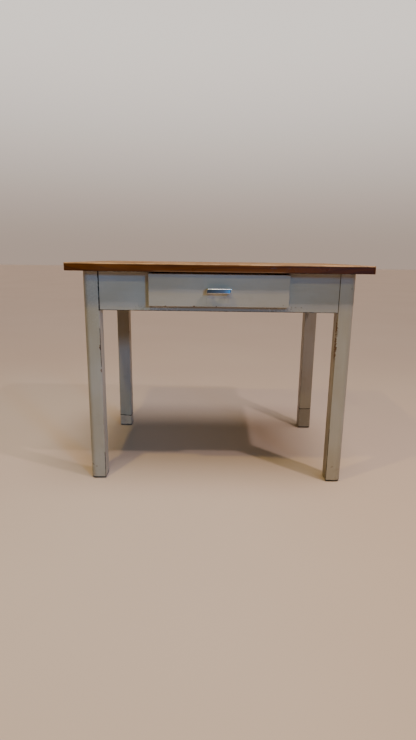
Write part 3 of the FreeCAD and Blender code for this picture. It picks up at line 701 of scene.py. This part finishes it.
# Floor, light and camera
# A plain pale floor under warm lamps, with a cool spot from the front right that falls mostly on the left
# half; the camera stands at the photograph's place and angle.

floor_size = 40
floor_front = -2.2
bpy.ops.object.select_all(action="DESELECT")
bpy.ops.mesh.primitive_plane_add(size=floor_size, location=(0, floor_front + floor_size / 2, 0))
bpy.ops.object.transform_apply(location=True, rotation=True, scale=True)
floor = bpy.context.object
floor.name = "floor"
floor_material, floor_tree, floor_surface = new_material("pale_floor")
floor_point = node(floor_tree, "TexCoord")["Object"]
floor_cloud = noise(floor_tree, floor_point, (0.8, 0.8, 0.8), 4.0)
floor_tree.links.new(mix(floor_tree, floor_cloud, srgb(206, 183, 168), srgb(216, 196, 181)),
                     floor_surface["Base Color"])
floor_surface["Roughness"].default_value = 0.6
floor_surface["Specular IOR Level"].default_value = 0.1
floor.data.materials.append(floor_material)


def hang(lamp, place, aim):
    """Put a lamp at a place and point it at another."""
    holder = bpy.data.objects.new(lamp.name, lamp)
    bpy.context.scene.collection.objects.link(holder)
    holder.location = place
    holder.rotation_euler = (Vector(aim) - Vector(place)).to_track_quat("-Z", "Y").to_euler()


def area_light(name, place, aim, size, power, colour):
    """Square lamp of a given size, power and colour, pointed from its place at another."""
    lamp = bpy.data.lights.new(name, "AREA")
    lamp.energy = power
    lamp.size = size
    lamp.color = colour
    hang(lamp, place, aim)


ceiling = 2.6
area_light("ceiling_lamp", (-0.75, -1.05, ceiling), (-0.5, -0.6, 0), 0.08, 17, (1.0, 0.75, 0.20))
area_light("front_lamp", (-0.3, -2.8, ceiling), (0, -0.3, 0.4), 0.10, 12.8, (1.0, 0.91, 0.39))
area_light("right_lamp", (1.4, -1.17, ceiling), (0.6, -0.4, 0.3), 0.08, 25, (1.0, 0.80, 0.75))
cool_spot = bpy.data.lights.new("cool_spot", "SPOT")
cool_spot.energy = 179
cool_spot.color = (0.12, 0.48, 1.0)
cool_spot.shadow_soft_size = 0.2
cool_spot.spot_size = math.radians(50)
cool_spot.spot_blend = 1.0
hang(cool_spot, (1.5, -2.9, 1.59), (-0.9, -0.3, 0.62))
overhead = bpy.data.lights.new("overhead", "SUN")
overhead.energy = 1.95
overhead.angle = math.radians(30)
overhead.color = (1.0, 0.92, 0.86)
hang(overhead, (0.11, -0.12, 1.0), (0, 0, 0))

# All round it is dark in front and pale behind, with a small cool patch low in front on the right. Shiny
# faces mirror this at full strength, and it adds little light; the camera itself sees a plain backdrop.
ambient_strength = 0.085
mirror_strength = 1.6
backdrop_strength = 1.15
cool_patch_tone = (0.03, 0.25, 0.62, 1.0)
world = bpy.data.worlds.new("studio")
world.use_nodes = True
bpy.context.scene.world = world
sky = world.node_tree
direction = node(sky, "SeparateXYZ", {0: node(sky, "TexCoord")["Generated"]})
path = node(sky, "LightPath")
backdrop = mix(sky, fade(sky, direction["Z"], 0.0, 0.40), srgb(172, 153, 140), srgb(255, 244, 234))
low_front = mix(sky, fade(sky, direction["X"], -0.2, 0.15), srgb(50, 56, 66), srgb(68, 80, 102))
in_front = mix(sky, fade(sky, direction["Z"], 0.02, 0.2), low_front, srgb(66, 60, 54))
cool_patch = calc(sky, "MULTIPLY", fade(sky, direction["X"], 0.175, 0.195),
                  fade(sky, direction["X"], 0.34, 0.28))
cool_patch = calc(sky, "MULTIPLY", cool_patch, fade(sky, direction["Z"], 0.05, 0.0))
in_front = mix(sky, cool_patch, in_front, cool_patch_tone)
behind = mix(sky, fade(sky, direction["Z"], 0.06, 0.4), srgb(255, 198, 140), srgb(150, 125, 105))
back_share = fade(sky, direction["Y"], -0.3, 0.5)
mirrored = mix(sky, back_share, in_front, behind)
ambient = mix(sky, back_share, srgb(30, 30, 32), srgb(255, 238, 218))
around = mix(sky, path["Is Glossy Ray"], ambient, mirrored)
strength = fade(sky, path["Is Glossy Ray"], 0.0, 1.0, ambient_strength, mirror_strength)
surroundings = node(sky, "Background", {"Color": around, "Strength": strength})[0]
seen = node(sky, "Background", {"Color": backdrop, "Strength": backdrop_strength})[0]
shown = node(sky, "MixShader", {0: path["Is Camera Ray"], 1: surroundings, 2: seen})[0]
sky.links.new(shown, sky.nodes["World Output"].inputs["Surface"])

camera_place = Vector((-0.0219, -1.8833, 0.7908))
camera_yaw = -0.0068
camera_pitch = 0.2352
camera_roll = 0.0127
focal_pixels = 470.3
frame_pixels = 740
sensor = 36.0
level_ahead = Vector((math.sin(camera_yaw), math.cos(camera_yaw), 0))
ahead = level_ahead * math.cos(camera_pitch) - Vector((0, 0, math.sin(camera_pitch)))
level_right = Vector((math.cos(camera_yaw), -math.sin(camera_yaw), 0))
level_up = level_right.cross(ahead)
rolled_right = level_right * math.cos(camera_roll) + level_up * math.sin(camera_roll)
rolled_up = level_up * math.cos(camera_roll) - level_right * math.sin(camera_roll)
camera_data = bpy.data.cameras.new("camera")
camera_data.sensor_width = sensor
camera_data.lens = focal_pixels / frame_pixels * sensor
camera = bpy.data.objects.new("camera", camera_data)
bpy.context.scene.collection.objects.link(camera)
axes = Matrix((rolled_right, rolled_up, -ahead)).transposed()
camera.matrix_world = Matrix.Translation(camera_place) @ axes.to_4x4()
bpy.context.scene.camera = camera
